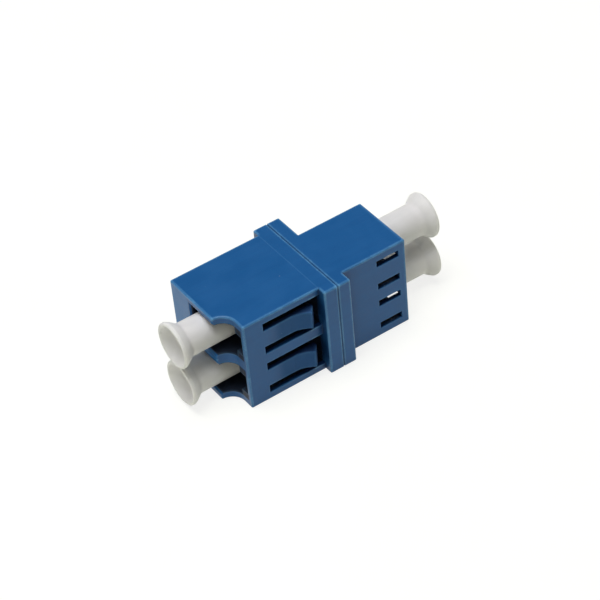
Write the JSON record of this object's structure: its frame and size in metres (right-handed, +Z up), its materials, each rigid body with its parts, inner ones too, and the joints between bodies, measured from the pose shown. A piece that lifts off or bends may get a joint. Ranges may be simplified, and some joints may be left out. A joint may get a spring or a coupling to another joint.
{
  "type": "lc duplex fibre adapter",
  "caption": "Blue panel adapter that joins pairs of small fibre connectors end to end, with snap fingers, a flange and pull-out dust plugs.",
  "frame": {"origin": "on the flange's face that bears on the panel, in the plane of the two port axes, at the bottom face", "axes": "+X along the ports towards the rear half, +Y away from the connectors' latch side, +Z up"},
  "size_m": [0.0373, 0.0148, 0.013],
  "materials": {
    "housing_plastic": "satin moulded blue",
    "holder_plastic": "satin moulded blue",
    "sleeve_ceramic": "fine ground white",
    "plug_plastic": "soft pale, slightly waxy"
  },
  "bodies": {
    "adapter": {"front_housing": "housing_plastic", "rear_housing": "housing_plastic", "upper_front_sleeve_holder": "holder_plastic", "upper_rear_sleeve_holder": "holder_plastic", "upper_alignment_sleeve": "sleeve_ceramic", "lower_front_sleeve_holder": "holder_plastic", "lower_rear_sleeve_holder": "holder_plastic", "lower_alignment_sleeve": "sleeve_ceramic"},
    "upper_front_plug": {"upper_front_dust_plug": "plug_plastic"},
    "upper_rear_plug": {"upper_rear_dust_plug": "plug_plastic"},
    "lower_front_plug": {"lower_front_dust_plug": "plug_plastic"},
    "lower_rear_plug": {"lower_rear_dust_plug": "plug_plastic"}
  },
  "joints": [
    {"name": "upper_front_plug_slide", "type": "slide", "parent": "adapter", "child": "upper_front_plug", "axis": [-1, 0, 0], "range_m": [0, 0.012]},
    {"name": "upper_rear_plug_slide", "type": "slide", "parent": "adapter", "child": "upper_rear_plug", "axis": [1, 0, 0], "range_m": [0, 0.01]},
    {"name": "lower_front_plug_slide", "type": "slide", "parent": "adapter", "child": "lower_front_plug", "axis": [-1, 0, 0], "range_m": [0, 0.012]},
    {"name": "lower_rear_plug_slide", "type": "slide", "parent": "adapter", "child": "lower_rear_plug", "axis": [1, 0, 0], "range_m": [0, 0.01]}
  ]
}
